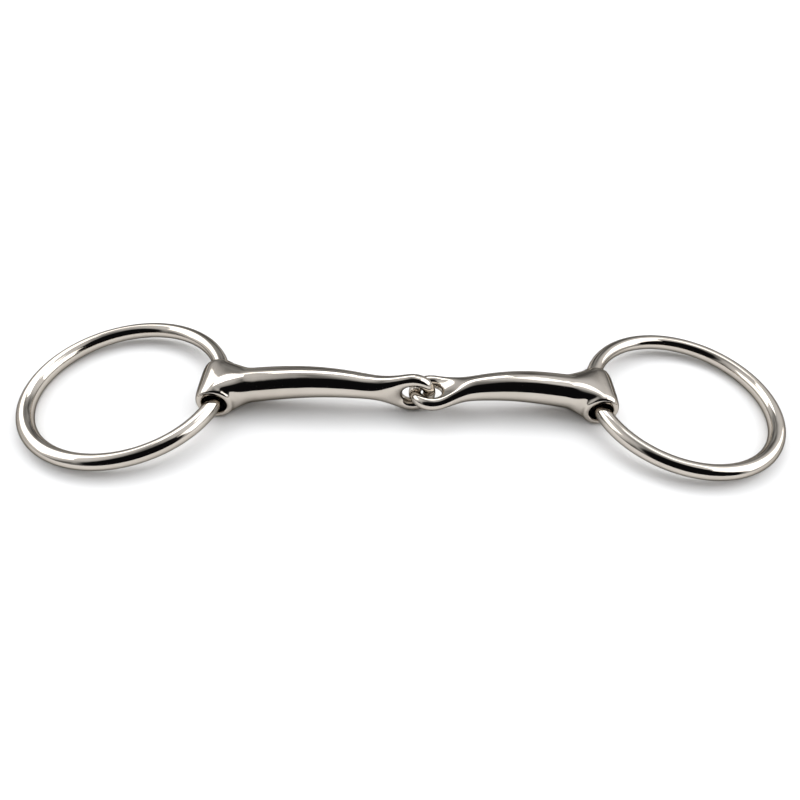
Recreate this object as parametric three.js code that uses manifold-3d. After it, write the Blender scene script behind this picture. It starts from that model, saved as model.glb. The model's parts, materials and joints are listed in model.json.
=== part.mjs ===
// Single-jointed loose-ring snaffle bit in polished stainless steel.
//
// Frame: millimetres, +Z up, the mouthpiece along X, both bore axes along Y. The bit lies stretched
// out on a flat surface at Z = 0. X = 0 is halfway between the two bores.
//
// Four separate pieces: two cannons (mouthpiece halves) linked eye through eye, and two round rings,
// each running loose through the bore at the outer end of its cannon.

import * as THREE from 'three';
import { mergeVertices } from 'three/addons/utils/BufferGeometryUtils.js';
import Module from 'manifold-3d';

const wasm = await Module();
wasm.setup();

// ---- driving dimensions -------------------------------------------------------------------------

const RING_OUTER_D = 75;          // outside diameter of each ring
const RING_WIRE_D = 5.8;          // round bar that the ring is bent from

const LEFT_REACH = 74.5;          // left cannon: bore axis to the middle of the centre joint
const RIGHT_REACH = 65.5;         // right cannon: bore axis to the middle of the centre joint

const BORE_SLACK = 0.6;           // radial room that the ring's wire has in its bore
const BORE_LIP = 0.4;             // how far the bore flares open at each mouth
const BARREL_WALL = 2.9;          // metal round the middle of the bore
const BARREL_LENGTH = 17.8;       // barrel end, measured along its bore
const BARREL_TAPER = 1.5;         // how much the barrel's radius falls off towards each rim
const TAPER_LENGTH = 4;           // length over which it falls off

const ROOT_D = 12.9;              // bar diameter where it leaves the barrel
const MIDDLE_D = 11.6;            // bar diameter halfway along
const NECK_D = 8.2;               // bar diameter just behind the eye
const BAR_ARCH = 3.4;             // rise of the bar's middle above its two ends
const BAR_SWEEP = 1.9;            // how far each bar curves towards -Y on its way to the joint
const ROOT_FLARE = 4;             // length over which the bar widens out to the barrel
const ROOT_SQUARENESS = 0.35;     // 0 keeps the widened root oval, 1 would make it a box
const RIM_SETBACK = 1;            // how far the widened root stays inside the barrel's rims
const NECK_FLARE = 8;             // length over which the neck widens out to the eye

const EYE_WIRE_D = 4.8;           // thickness of the metal round each eye
const EYE_SLACK = 1.2;            // room on each side of the other eye's metal inside the hole
const EYE_STRETCH = 0.2;          // straight length that makes the eye longer than it is wide
const JOINT_GAP = 0.5;            // space between the two eyes where they bear on each other

// ---- sizes that follow --------------------------------------------------------------------------

const wireR = RING_WIRE_D / 2;
const ringR = RING_OUTER_D / 2 - wireR;               // radius of the ring's centre line
const halfBarrel = BARREL_LENGTH / 2;
// The wire bends inside the straight bore, so the bore also takes the rise of that arc.
const arcRise = ringR - Math.sqrt(ringR ** 2 - halfBarrel ** 2);
const boreR = wireR + arcRise / 2 + BORE_SLACK;
const barrelR = boreR + BARREL_WALL;
const ringOffset = ringR - arcRise / 2;               // bore axis to the ring's centre
const ringTilt = Math.asin((barrelR - wireR) / (ringOffset + ringR));

const eyeWireR = EYE_WIRE_D / 2;
const eyeHoleR = eyeWireR + EYE_SLACK;
const eyeBendR = eyeHoleR + eyeWireR;                 // radius of the eye's centre line
const eyeHeight = eyeBendR + eyeWireR;                // joint height: the upright eye stands on Z = 0
const tipSetback = eyeWireR + JOINT_GAP / 2;          // joint middle to either eye's tip centre
const eyeCentre = eyeBendR + EYE_STRETCH / 2 - tipSetback;

const halfMouth = (LEFT_REACH + RIGHT_REACH) / 2;
const jointX = LEFT_REACH - halfMouth;

// ---- helpers ------------------------------------------------------------------------------------

const steel = (color, roughness) => new THREE.MeshStandardMaterial({ color, roughness, metalness: 1 });

// A closed three.js geometry as a solid that can be joined and cut.
function solidOf(geometry) {
  geometry.deleteAttribute('normal');
  geometry.deleteAttribute('uv');
  const merged = mergeVertices(geometry, 1e-5);
  const corners = merged.index.array;
  const triVerts = [];
  for (let i = 0; i < corners.length; i += 3) {
    const [a, b, c] = corners.subarray(i, i + 3);
    if (a !== b && b !== c && c !== a) triVerts.push(a, b, c);
  }
  return new wasm.Manifold(new wasm.Mesh({
    numProp: 3,
    vertProperties: new Float32Array(merged.attributes.position.array),
    triVerts: new Uint32Array(triVerts),
  }));
}

function geometryOf(solid) {
  const mesh = solid.getMesh();
  const geometry = new THREE.BufferGeometry();
  geometry.setAttribute('position', new THREE.BufferAttribute(mesh.vertProperties, 3));
  geometry.setIndex(new THREE.BufferAttribute(mesh.triVerts, 1));
  geometry.computeVertexNormals();
  return geometry;
}

// Moves every vertex of a geometry with a function of its place.
function reshape(geometry, move) {
  const position = geometry.attributes.position;
  const point = new THREE.Vector3();
  for (let i = 0; i < position.count; i += 1) {
    move(point.fromBufferAttribute(position, i));
    position.setXYZ(i, point.x, point.y, point.z);
  }
  return geometry;
}

const ease = (t) => t * t * (3 - 2 * t);
const clamp = (t) => THREE.MathUtils.clamp(t, 0, 1);

// ---- cannon, drawn from its bore axis at X = 0 to its eye at +X -----------------------------------
// side is -1 for the left cannon and 1 for the right one, which is turned half round when placed.

// The barrel: a short thick tube along Y with rounded rims, before it is bored.
function barrelSolid() {
  const taperSteps = 6;
  const taper = [];
  for (let i = 0; i <= taperSteps; i += 1) {
    const a = (i / taperSteps) * (Math.PI / 2);
    taper.push([barrelR - BARREL_TAPER * (1 - Math.sin(a)), TAPER_LENGTH * (1 - Math.cos(a))]);
  }
  const profile = [new THREE.Vector2(0, -halfBarrel)];
  for (const [r, inset] of taper) profile.push(new THREE.Vector2(r, -halfBarrel + inset));
  for (const [r, inset] of taper.reverse()) profile.push(new THREE.Vector2(r, halfBarrel - inset));
  profile.push(new THREE.Vector2(0, halfBarrel));
  return solidOf(new THREE.LatheGeometry(profile, 36));
}

// The bore, with a trumpet mouth at both ends, as the solid that is cut away.
function boreSolid() {
  const lipSteps = 4;
  const past = 1;
  const profile = [new THREE.Vector2(0, -halfBarrel - past)];
  const lip = [];
  for (let i = 0; i <= lipSteps; i += 1) {
    const a = (i / lipSteps) * (Math.PI / 2);
    lip.push([boreR + BORE_LIP * (1 - Math.sin(a)), BORE_LIP * (1 - Math.cos(a))]);
  }
  profile.push(new THREE.Vector2(boreR + BORE_LIP, -halfBarrel - past));
  for (const [r, depth] of lip) profile.push(new THREE.Vector2(r, -halfBarrel + depth));
  for (const [r, depth] of lip.reverse()) profile.push(new THREE.Vector2(r, halfBarrel - depth));
  profile.push(new THREE.Vector2(boreR + BORE_LIP, halfBarrel + past));
  profile.push(new THREE.Vector2(0, halfBarrel + past));
  return solidOf(new THREE.LatheGeometry(profile, 28));
}

// The tapered round bar. It arches up between its ends and curves a little sideways towards the
// eye. It widens along Y to meet the barrel, and in the eye's own plane to meet the eye.
function barSolid(reach, side, eyeUpright) {
  const eyeX = reach - eyeCentre;
  const backX = eyeX - eyeBendR - EYE_STRETCH / 2;    // centre of the metal at the eye's back
  const domeFrom = backX - eyeWireR;
  const stations = 26;
  const radiusAt = (x) => {
    const t = clamp(x / domeFrom);
    const straight = THREE.MathUtils.lerp(ROOT_D, NECK_D, t) / 2;
    const swell = (MIDDLE_D - (ROOT_D + NECK_D) / 2) / 2;
    return straight + swell * 4 * t * (1 - t);
  };
  const profile = [new THREE.Vector2(0, 0)];
  for (let i = 0; i <= stations; i += 1) {
    const x = (i / stations) * domeFrom;
    profile.push(new THREE.Vector2(radiusAt(x), x));
  }
  const domeSteps = 5;
  for (let i = 1; i <= domeSteps; i += 1) {
    const a = (i / domeSteps) * (Math.PI / 2);
    profile.push(new THREE.Vector2((NECK_D / 2) * Math.cos(a), domeFrom + 2 * eyeWireR * Math.sin(a)));
  }
  profile[profile.length - 1].x = 0;
  const bar = new THREE.LatheGeometry(profile, 24).rotateZ(-Math.PI / 2);
  const rootWidth = (halfBarrel - RIM_SETBACK) / (ROOT_D / 2) - 1;
  // The neck widens until it is as wide as the eye is across the metal at its back.
  const eyeBackWidth = Math.sqrt((eyeBendR + eyeWireR) ** 2 - eyeBendR ** 2);
  const neckWidth = eyeBackWidth / (NECK_D / 2) - 1;
  reshape(bar, (p) => {
    const root = ease(clamp(1 - (p.x - barrelR) / ROOT_FLARE));
    const neck = neckWidth * ease(clamp(1 - (backX - p.x) / NECK_FLARE));
    const t = clamp(p.x / eyeX);
    const rise = BAR_ARCH * (4 * t * (1 - t)) ** 1.5 + (eyeHeight - barrelR) * ease(t);
    const radius = Math.hypot(p.y, p.z);
    if (radius > 0) {
      // Towards the barrel the section turns from a circle into a wide block with rounded corners.
      const power = 1 - ROOT_SQUARENESS * root;
      p.y = Math.sign(p.y) * radius * Math.abs(p.y / radius) ** power;
      p.z = Math.sign(p.z) * radius * Math.abs(p.z / radius) ** power;
    }
    p.y = p.y * (1 + rootWidth * root + (eyeUpright ? 0 : neck)) + side * BAR_SWEEP * ease(t * t);
    p.z = p.z * (1 + (eyeUpright ? neck : 0)) + rise;
  });
  return solidOf(bar);
}

// The eye: a round wire bent into a ring that is a little longer than it is wide.
function eyeSolid(reach, side, eyeUpright) {
  const eye = new THREE.TorusGeometry(eyeBendR, eyeWireR, 14, 36);
  reshape(eye, (p) => {
    p.x += Math.sign(Math.round(p.x * 1e4)) * (EYE_STRETCH / 2);
  });
  if (eyeUpright) eye.rotateX(Math.PI / 2);
  eye.translate(reach - eyeCentre, side * BAR_SWEEP, eyeHeight - barrelR);
  return solidOf(eye);
}

// What the eye's hole must keep clear of the neck's end: a straight slot across the eye.
function eyeHoleSolid(reach, side, eyeUpright) {
  const slot = new THREE.CylinderGeometry(eyeHoleR, eyeHoleR, 4 * eyeWireR, 36);
  reshape(slot, (p) => {
    p.x += Math.sign(Math.round(p.x * 1e4)) * (EYE_STRETCH / 2);
  });
  if (!eyeUpright) slot.rotateX(Math.PI / 2);
  slot.translate(reach - eyeCentre, side * BAR_SWEEP, eyeHeight - barrelR);
  return solidOf(slot);
}

function cannonGeometry(reach, side, eyeUpright) {
  const body = barSolid(reach, side, eyeUpright)
    .subtract(eyeHoleSolid(reach, side, eyeUpright))
    .add(eyeSolid(reach, side, eyeUpright))
    .add(barrelSolid())
    .subtract(boreSolid());
  return geometryOf(body);
}

// ---- the four pieces ----------------------------------------------------------------------------

function cannon(name, reach, side, eyeUpright) {
  const mesh = new THREE.Mesh(cannonGeometry(reach, side, eyeUpright), steel(0xc9c6c0, 0.14));
  mesh.name = name;
  mesh.position.set(side * halfMouth, 0, barrelR);
  mesh.rotation.z = side > 0 ? Math.PI : 0;
  return mesh;
}

// A ring hangs on its bore axis and tips down until its far side rests on Z = 0.
function ring(name, side) {
  const hinge = new THREE.Group();
  hinge.position.set(side * halfMouth, 0, barrelR);
  hinge.rotation.y = side * ringTilt;
  const mesh = new THREE.Mesh(new THREE.TorusGeometry(ringR, wireR, 14, 72), steel(0xcfccc7, 0.12));
  mesh.name = name;
  mesh.position.x = side * ringOffset;
  hinge.add(mesh);
  return hinge;
}

const bit = new THREE.Group();
bit.add(cannon('left_cannon', LEFT_REACH, -1, true));
bit.add(cannon('right_cannon', RIGHT_REACH, 1, false));
bit.add(ring('left_ring', -1));
bit.add(ring('right_ring', 1));

export default bit;
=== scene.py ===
import json
import math

import bmesh
import bpy
from mathutils import Matrix, Vector


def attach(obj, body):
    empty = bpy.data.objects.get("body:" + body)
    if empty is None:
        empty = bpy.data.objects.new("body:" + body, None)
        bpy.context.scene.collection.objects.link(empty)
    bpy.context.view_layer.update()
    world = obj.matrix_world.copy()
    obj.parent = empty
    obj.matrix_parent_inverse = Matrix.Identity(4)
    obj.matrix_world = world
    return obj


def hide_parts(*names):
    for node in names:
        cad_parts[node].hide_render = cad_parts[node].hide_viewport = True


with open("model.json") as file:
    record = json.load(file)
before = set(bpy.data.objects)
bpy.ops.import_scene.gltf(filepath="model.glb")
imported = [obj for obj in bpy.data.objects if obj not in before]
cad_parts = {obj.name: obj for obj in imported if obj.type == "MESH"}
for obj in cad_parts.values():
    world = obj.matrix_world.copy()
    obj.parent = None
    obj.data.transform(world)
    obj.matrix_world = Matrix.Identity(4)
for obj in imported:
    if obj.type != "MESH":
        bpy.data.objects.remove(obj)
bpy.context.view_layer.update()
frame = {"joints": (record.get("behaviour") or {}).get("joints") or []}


# ---- Cannons ---------------------------------------------------------------------------------
# The two halves of the mouthpiece, each cast in stainless steel in one piece with its bored barrel
# and its eye, then ground and polished by hand. One eye is closed round the other while hot.

mm = 0.001
joint_at = {joint["name"]: Vector(joint["pos_m"]) for joint in frame["joints"]}

ring_wire = 2.9 * mm            # radius of the bar that the rings are bent from
barrel_half = 8.9 * mm          # half the barrel's length along its bore
barrel_radius = joint_at["left_ring_swing"].z
root_radius = 6.45 * mm         # the bar's radius where it leaves the barrel
middle_radius = 5.8 * mm        # the bar's radius halfway along
neck_radius = 4.1 * mm          # the bar's radius just behind the eye
root_half_width = 7.9 * mm      # half the bar's width along the bore where it leaves the barrel
root_flare = 4 * mm             # length over which the bar widens out to the barrel
root_squareness = 0.3           # 0 keeps the widened root oval, 1 would make it a box
neck_setback = 12.2 * mm        # middle of the eye to the bar's last section
bar_arch = 3.4 * mm             # rise of the bar's middle above its two ends
eye_wire = 2.4 * mm             # radius of the metal round the eye
eye_bend = 6.0 * mm             # radius of the centre line of the metal round the eye
eye_stretch = 0.1 * mm          # half the straight length in the eye
tip_setback = 2.65 * mm         # middle of the joint to the centre of either eye's tip
eye_rise = joint_at["centre_fold"].z - barrel_radius
joint_x = joint_at["centre_fold"].x + tip_setback
bar_sweep = joint_at["centre_fold"].y    # how far the bar curves sideways on its way to the joint

# A subdivided cage shrinks towards its middle, so a round section is drawn larger by one of these.
round_of_8 = 6 / (4 + 2 * math.cos(math.radians(45)))
round_of_12 = 6 / (4 + 2 * math.cos(math.radians(30)))
round_of_16 = 6 / (4 + 2 * math.cos(math.radians(22.5)))


def ease(t):
    t = min(max(t, 0.0), 1.0)
    return t * t * (3 - 2 * t)


def turn_barrel(bm):
    """The barrel with its bore, turned about Y, and open where the bar grows out of it."""
    # Radius and distance from the barrel's middle, in millimetres, in mirrored halves: along the
    # outside to the rim, then over the flat lip and into the bore.
    outside = [(7.05, 0), (7.02, 4.2), (6.9, 7.3), (6.3, 8.8), (5.4, 9.0)]
    inside = [(4.55, 8.95), (4.08, 8.1), (4.08, 0)]
    half = outside + inside
    outline = half + [(r, -y) for r, y in reversed(half) if y > 0]
    verts = [bm.verts.new((r * mm * round_of_8, y * mm, 0)) for r, y in outline]
    edges = [bm.edges.new((verts[i - 1], verts[i])) for i in range(len(verts))]
    bmesh.ops.spin(bm, geom=verts + edges, cent=(0, 0, 0), axis=(0, 1, 0), angle=math.tau,
                   steps=8, use_merge=True, use_duplicate=False)
    seat_half_width = 6.9 * mm
    middle_of_wall = 5.2 * mm
    seat = []
    for f in bm.faces:
        at = f.calc_center_median()
        on_outside = math.hypot(at.x, at.z) > middle_of_wall
        if on_outside and at.x > 0 and abs(at.y) < seat_half_width:
            seat.append(f)
    bmesh.ops.delete(bm, geom=seat, context="FACES")
    # Faces inside the bore take the second material, which paints the shade in the hole.
    inside_bore = 4.6 * mm * round_of_8
    behind_lip = 8.2 * mm
    for f in bm.faces:
        at = f.calc_center_median()
        if math.hypot(at.x, at.z) < inside_bore and abs(at.y) < behind_lip:
            f.material_index = 1
    return [e for e in bm.edges if e.is_boundary]


def bend_eye(bm, centre, upright):
    """The eye, a round bar bent into a closed loop, open at the back where the neck joins it."""
    known = set(bm.faces)
    loop = bmesh.ops.create_circle(bm, segments=8, radius=eye_wire * round_of_8)["verts"]
    edges = list({e for v in loop for e in v.link_edges})
    stand = (Matrix.Translation((eye_bend * round_of_12, 0, 0))
             @ Matrix.Rotation(math.radians(90), 4, "X"))
    bmesh.ops.transform(bm, matrix=stand, verts=loop)
    bmesh.ops.spin(bm, geom=loop + edges, cent=(0, 0, 0), axis=(0, 0, 1), angle=math.tau,
                   steps=12, use_merge=True, use_duplicate=False)
    faces = [f for f in bm.faces if f not in known]
    verts = {v for f in faces for v in f.verts}
    neck_angle = math.radians(61)       # how far round from its back the eye is left open
    back = []
    for f in faces:
        at = f.calc_center_median()
        outer = math.hypot(at.x, at.y) > eye_bend * round_of_12
        if outer and at.x < -abs(at.y) / math.tan(neck_angle):
            back.append(f)
    bmesh.ops.delete(bm, geom=back, context="FACES")
    verts = [v for v in verts if v.is_valid]
    on_middle = 0.1 * mm
    for v in verts:
        if abs(v.co.x) > on_middle:
            v.co.x += math.copysign(eye_stretch, v.co.x)
    place = Matrix.Translation(centre)
    if upright:
        place = place @ Matrix.Rotation(math.radians(90), 4, "X")
    bmesh.ops.transform(bm, matrix=place, verts=verts)
    return list({e for v in verts for e in v.link_edges if e.is_boundary})


def bar_section(bm, centre, half_width, half_height, squareness):
    """One section across the bar: round, or a block with rounded corners."""
    lay = Matrix.Translation(centre) @ Matrix.Rotation(math.radians(90), 4, "Y")
    loop = bmesh.ops.create_circle(bm, segments=16, radius=1.0)["verts"]
    for v in loop:
        power = 1 - squareness
        across = math.copysign(abs(v.co.y) ** power, v.co.y)
        up = math.copysign(abs(v.co.x) ** power, v.co.x)
        v.co = Vector((up * half_height, across * half_width, 0)) * round_of_16
    bmesh.ops.transform(bm, matrix=lay, verts=loop)
    return list({e for v in loop for e in v.link_edges})


def finished_piece(name, bm, place):
    """The modelled skin as a smooth-shaded object, put in its place."""
    bmesh.ops.recalc_face_normals(bm, faces=bm.faces)
    bmesh.ops.transform(bm, matrix=place, verts=bm.verts)
    mesh = bpy.data.meshes.new(name)
    bm.to_mesh(mesh)
    bm.free()
    mesh.polygons.foreach_set("use_smooth", [True] * len(mesh.polygons))
    piece = bpy.data.objects.new(name, mesh)
    bpy.context.collection.objects.link(piece)
    return piece


def make_cannon(name, reach, sweep, upright, place):
    """Barrel, bar and eye as one skin, drawn along X from the bore and then put in its place."""
    bm = bmesh.new()
    seam = turn_barrel(bm)
    eye_x = reach - (eye_bend + eye_stretch - tip_setback)
    neck_x = eye_x - neck_setback
    stations = [8.8 * mm, 11.0 * mm, 14.5 * mm, 19.5 * mm]      # close together at the root
    last_root = stations[-1]
    bays = 5                    # lengths of bar between the root's sections and the neck
    stations += [last_root + (neck_x - last_root) * (i + 1) / bays for i in range(bays)]
    back_of_eye = eye_x - eye_bend - eye_stretch - eye_wire
    for x in stations:
        t = x / back_of_eye
        straight = root_radius + (neck_radius - root_radius) * t
        swell = middle_radius - (root_radius + neck_radius) / 2
        radius = straight + swell * 4 * t * (1 - t)
        flare = ease(1 - (x - barrel_radius) / root_flare)
        half_width = radius + (root_half_width - root_radius) * flare
        s = x / eye_x
        rise = bar_arch * (4 * s * (1 - s)) ** 1.5 + eye_rise * ease(s)
        centre = (x, sweep * ease(s * s), rise)
        section = bar_section(bm, centre, half_width, radius, root_squareness * flare)
        bmesh.ops.bridge_loops(bm, edges=seam + section)
        seam = section
    eye = bend_eye(bm, (eye_x, sweep, eye_rise), upright)
    bmesh.ops.bridge_loops(bm, edges=seam + eye)
    cannon = finished_piece(name, bm, place)
    smooth = cannon.modifiers.new("rounding", "SUBSURF")
    smooth.levels = 3
    smooth.render_levels = 3
    return cannon


def steel(name, seed):
    """Mirror-polished stainless steel, with mop marks, handling smudges and hair-fine scratches."""
    material = bpy.data.materials.new(name)
    material.use_nodes = True
    nodes = material.node_tree.nodes
    links = material.node_tree.links
    shader = nodes["Principled BSDF"]
    shader.inputs["Metallic"].default_value = 1.0
    dark_rim = (0.12, 0.12, 0.12, 1)    # steel throws back less light where it is seen edge-on
    shader.inputs["Specular Tint"].default_value = dark_rim
    place = nodes.new("ShaderNodeTexCoord")
    shift = nodes.new("ShaderNodeMapping")
    shift.inputs["Location"].default_value = (seed * 0.31, seed * 0.17, seed * 0.23)
    links.new(place.outputs["Object"], shift.inputs["Vector"])

    def noise(scale, detail, stretch=None):
        """Noise that is fixed to the piece; scale is in waves per metre."""
        texture = nodes.new("ShaderNodeTexNoise")
        texture.inputs["Scale"].default_value = scale
        texture.inputs["Detail"].default_value = detail
        vector = shift.outputs["Vector"]
        if stretch:
            pull = nodes.new("ShaderNodeMapping")
            pull.inputs["Scale"].default_value = stretch
            links.new(vector, pull.inputs["Vector"])
            vector = pull.outputs["Vector"]
        links.new(vector, texture.inputs["Vector"])
        return texture.outputs["Fac"]

    def spread(value, low, high, start=0.3, end=0.7):
        """A value that runs from start to end, made to run from low to high."""
        step = nodes.new("ShaderNodeMapRange")
        step.inputs["From Min"].default_value = start
        step.inputs["From Max"].default_value = end
        step.inputs["To Min"].default_value = low
        step.inputs["To Max"].default_value = high
        links.new(value, step.inputs["Value"])
        return step.outputs["Result"]

    clean = (0.565, 0.52, 0.465, 1)
    handled = (0.51, 0.465, 0.41, 1)
    smudge = noise(60, 4)
    tint = nodes.new("ShaderNodeMix")
    tint.data_type = "RGBA"
    tint.inputs["A"].default_value = clean
    tint.inputs["B"].default_value = handled
    links.new(spread(smudge, 0, 1), tint.inputs["Factor"])
    links.new(tint.outputs["Result"], shader.inputs["Base Color"])
    dull = nodes.new("ShaderNodeMath")
    dull.operation = "ADD"
    links.new(spread(smudge, 0.045, 0.085), dull.inputs[0])
    hairs = noise(900, 2, (1, 6, 6))
    links.new(spread(hairs, 0, 0.05, 0.55, 0.75), dull.inputs[1])
    links.new(dull.outputs["Value"], shader.inputs["Roughness"])
    mop = nodes.new("ShaderNodeBump")
    mop.inputs["Strength"].default_value = 0.5
    mop.inputs["Distance"].default_value = 0.12 * mm
    links.new(noise(170, 1), mop.inputs["Height"])
    scratch = nodes.new("ShaderNodeBump")
    scratch.inputs["Strength"].default_value = 0.2
    scratch.inputs["Distance"].default_value = 0.004 * mm
    links.new(noise(2200, 3, (0.12, 1, 1)), scratch.inputs["Height"])
    links.new(mop.outputs["Normal"], scratch.inputs["Normal"])
    links.new(scratch.outputs["Normal"], shader.inputs["Normal"])
    return material


def painted_bore_shade():
    """The inside of the bore, left unpolished and painted dark as the shade in the hole, mottled
    with grease.
    """
    material = bpy.data.materials.new("bore_painted_shade")
    material.use_nodes = True
    nodes = material.node_tree.nodes
    links = material.node_tree.links
    shader = nodes["Principled BSDF"]
    shader.inputs["Metallic"].default_value = 1.0
    shader.inputs["Roughness"].default_value = 0.45
    place = nodes.new("ShaderNodeTexCoord")
    grime_and_shade_mottle = nodes.new("ShaderNodeTexNoise")
    grime_and_shade_mottle.inputs["Scale"].default_value = 500
    grime_and_shade_mottle.inputs["Detail"].default_value = 3
    links.new(place.outputs["Object"], grime_and_shade_mottle.inputs["Vector"])
    # Both colours are painted shade, far darker than bare steel, standing for the shade inside the
    # bore.
    tint = nodes.new("ShaderNodeMix")
    tint.data_type = "RGBA"
    tint.inputs["A"].default_value = (0.10, 0.09, 0.08, 1)      # painted shade, darkest where grease sits in the low spots
    tint.inputs["B"].default_value = (0.20, 0.185, 0.165, 1)    # painted shade over the bare metal
    links.new(grime_and_shade_mottle.outputs["Fac"], tint.inputs["Factor"])
    links.new(tint.outputs["Result"], shader.inputs["Base Color"])
    return material


left_bore = joint_at["left_ring_swing"]
right_bore = joint_at["right_ring_swing"]

left_cannon = make_cannon("left_cannon_polished", joint_x - left_bore.x, bar_sweep, True,
                          Matrix.Translation(left_bore))
right_cannon = make_cannon("right_cannon_polished", right_bore.x - joint_x, -bar_sweep, False,
                           Matrix.Translation(right_bore) @ Matrix.Rotation(math.pi, 4, "Z"))
# The bore's material paints the shade inside the hole.
painted_shade_bore = painted_bore_shade()
for cannon, body in ((left_cannon, "left_cannon"), (right_cannon, "right_cannon")):
    cannon.data.materials.append(steel(body + "_steel", len(body)))
    cannon.data.materials.append(painted_shade_bore)
    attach(cannon, body)
    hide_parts(body)


# ---- Rings -----------------------------------------------------------------------------------
# Round stainless bar, bent to a full circle through the cannon's bore, butt-welded, and ground and
# polished until the weld can't be seen. Each runs loose in its bore.

ring_bend = 37.5 * mm - ring_wire       # radius of the ring's centre line
arc_rise = ring_bend - math.sqrt(ring_bend ** 2 - barrel_half ** 2)
ring_offset = ring_bend - arc_rise / 2  # bore to the ring's centre
# Each ring hangs on its bore and tips down until its far side rests on the floor.
ring_tilt = math.asin((barrel_radius - ring_wire) / (ring_offset + ring_bend))


def make_ring(name, bore, side):
    """A ring through its bore, standing out towards side: -1 left, 1 right."""
    bm = bmesh.new()
    loop = bmesh.ops.create_circle(bm, segments=48, radius=ring_wire)["verts"]
    edges = list({e for v in loop for e in v.link_edges})
    stand = Matrix.Translation((ring_bend, 0, 0)) @ Matrix.Rotation(math.radians(90), 4, "X")
    bmesh.ops.transform(bm, matrix=stand, verts=loop)
    bmesh.ops.spin(bm, geom=loop + edges, cent=(0, 0, 0), axis=(0, 0, 1), angle=math.tau,
                   steps=240, use_merge=True, use_duplicate=False)
    place = (Matrix.Translation(bore) @ Matrix.Rotation(side * ring_tilt, 4, "Y")
             @ Matrix.Translation((side * ring_offset, 0, 0)))
    return finished_piece(name, bm, place)


for body, bore, side in (("left_ring", left_bore, -1), ("right_ring", right_bore, 1)):
    ring = make_ring(body + "_polished", bore, side)
    ring.data.materials.append(steel(body + "_steel", len(body)))
    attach(ring, body)
    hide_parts(body)


# ---- Floor, light and camera -----------------------------------------------------------------
# A white floor lit by a softbox at each side and two smaller ones high behind the bit. The room in
# front of it, where the camera stands, is dark, and draws the black bands in the polished metal.
# White walls fade in behind the side softboxes, and the rest of the room is a mottled grey.

bpy.ops.mesh.primitive_plane_add(size=20)
floor = bpy.context.object
floor.name = "floor"
white = bpy.data.materials.new("white_floor")
white.use_nodes = True
paper = white.node_tree.nodes["Principled BSDF"]
paper.inputs["Base Color"].default_value = (0.86, 0.86, 0.86, 1)
paper.inputs["Roughness"].default_value = 0.9
floor.data.materials.append(white)

world = bpy.data.worlds.new("room")
bpy.context.scene.world = world
world.use_nodes = True
nodes = world.node_tree.nodes
links = world.node_tree.links
direction = nodes.new("ShaderNodeTexCoord").outputs["Generated"]


def toward(bearing, height):
    """A direction from the bit; bearing and height are in degrees, from +X and from the floor."""
    turn = Matrix.Rotation(math.radians(bearing), 3, "Z")
    tip = Matrix.Rotation(math.radians(-height), 3, "Y")
    return turn @ tip @ Vector((1, 0, 0))


def mix_colour(low, high, factor):
    """From low to high by factor; each is a colour or another node's output."""
    mix = nodes.new("ShaderNodeMix")
    mix.data_type = "RGBA"
    for socket, colour in (("A", low), ("B", high)):
        if isinstance(colour, tuple):
            mix.inputs[socket].default_value = (*colour, 1)
        else:
            links.new(colour, mix.inputs[socket])
    links.new(factor, mix.inputs["Factor"])
    return mix.outputs["Result"]


def part_of_room(centre, reach, fade):
    """How much a direction belongs to a round part of the room, reach degrees from its centre."""
    nearness = nodes.new("ShaderNodeVectorMath")
    nearness.operation = "DOT_PRODUCT"
    nearness.inputs[1].default_value = centre
    links.new(direction, nearness.inputs[0])
    edge = nodes.new("ShaderNodeMapRange")
    edge.interpolation_type = "SMOOTHSTEP"
    edge.inputs["From Min"].default_value = math.cos(math.radians(reach + fade))
    edge.inputs["From Max"].default_value = math.cos(math.radians(reach - fade))
    links.new(nearness.outputs["Value"], edge.inputs["Value"])
    return edge.outputs["Result"]


mottle = nodes.new("ShaderNodeTexNoise")
mottle.inputs["Scale"].default_value = 3.2
mottle.inputs["Detail"].default_value = 2
links.new(direction, mottle.inputs["Vector"])
contrast = nodes.new("ShaderNodeMapRange")
contrast.inputs["From Min"].default_value = 0.38
contrast.inputs["From Max"].default_value = 0.62
links.new(mottle.outputs["Fac"], contrast.inputs["Value"])
left_wall = part_of_room(toward(165, 33), 38, 14)
right_wall = part_of_room(toward(8, 38), 40, 14)
back_right_wall = part_of_room(toward(58, 62), 22, 10)
dark_front = part_of_room(toward(280, 28), 48, 5)
room = mix_colour((0.13, 0.13, 0.13), (0.44, 0.45, 0.46), contrast.outputs["Result"])
room = mix_colour(room, (0.95, 0.96, 0.98), left_wall)
room = mix_colour(room, (1.0, 1.01, 1.03), right_wall)
room = mix_colour(room, (0.95, 0.97, 1.0), back_right_wall)
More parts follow.
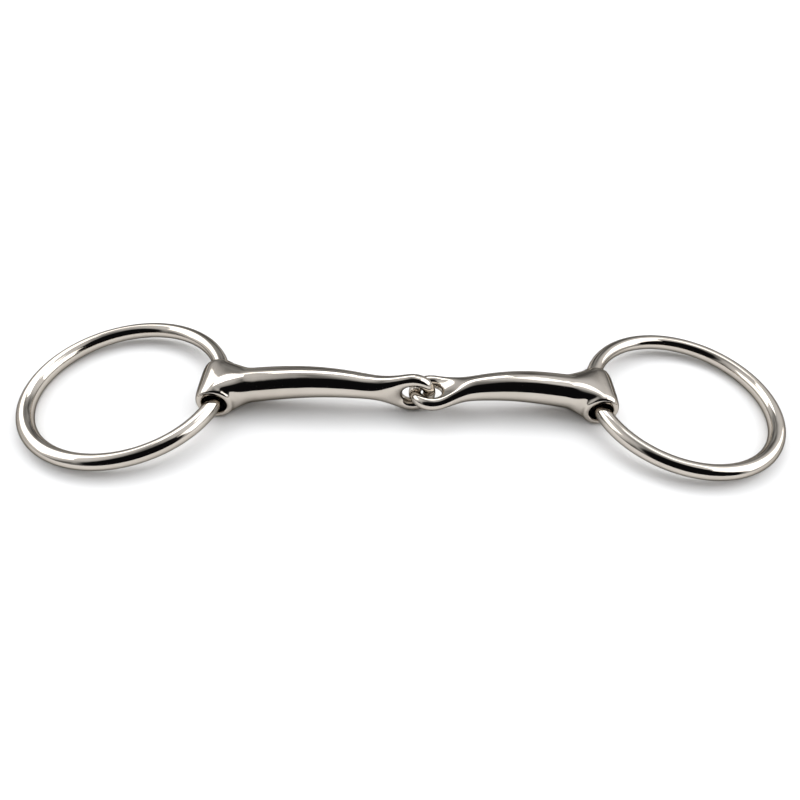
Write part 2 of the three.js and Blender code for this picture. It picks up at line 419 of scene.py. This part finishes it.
room = mix_colour(room, (0.006, 0.006, 0.007), dark_front)
seen = nodes.new("ShaderNodeLightPath")
backdrop = mix_colour(room, (0.9, 0.9, 0.9), seen.outputs["Is Camera Ray"])
links.new(backdrop, nodes["Background"].inputs["Color"])


softbox_distance = 1.6


def softbox(name, bearing, height, size, brightness):
    """A softbox in a direction from the bit, facing it."""
    lamp = bpy.data.lights.new(name, "AREA")
    lamp.shape = "RECTANGLE"
    lamp.size, lamp.size_y = size
    lamp.energy = brightness * math.pi * lamp.size * lamp.size_y
    box = bpy.data.objects.new(name, lamp)
    bpy.context.collection.objects.link(box)
    at = toward(bearing, height) * softbox_distance
    facing = (-at).to_track_quat("-Z", "Y").to_matrix().to_4x4()
    box.matrix_world = Matrix.Translation(at) @ facing
    return box


softbox("left_softbox", 160, 35, (1.7, 0.9), 2.0)
softbox("right_softbox", 2, 34, (1.5, 1.3), 2.0)
softbox("back_softbox", 103, 55, (0.9, 0.55), 3.0)
softbox("back_right_softbox", 42, 62, (0.6, 0.5), 1.8)
# Light that the ceiling throws back down; it softens the shadows and isn't seen in the steel.
ceiling = softbox("ceiling_bounce", 90, 90, (2.4, 2.4), 0.55)
ceiling.visible_glossy = False

yaw, pitch, roll = 0.0548, 0.8308, -0.0590
aim = Matrix.Rotation(-yaw, 3, "Z")
camera_at = aim @ Vector((2.94, -166.02, 167.06)) * mm
forward = aim @ Vector((0, math.cos(pitch), -math.sin(pitch)))
level = aim @ Vector((1, 0, 0))
lift = level.cross(forward)
right = level * math.cos(roll) - lift * math.sin(roll)
up = level * math.sin(roll) + lift * math.cos(roll)
lens = bpy.data.cameras.new("camera")
lens.sensor_width = 36
lens.lens = 27.9
lens.shift_x = -0.019
lens.shift_y = 0.0391
lens.clip_start = 0.01
camera = bpy.data.objects.new("camera", lens)
bpy.context.collection.objects.link(camera)
turned = Matrix((right, up, -forward)).transposed().to_4x4()
camera.matrix_world = Matrix.Translation(camera_at) @ turned
bpy.context.scene.camera = camera
bpy.context.scene.view_settings.view_transform = "Standard"
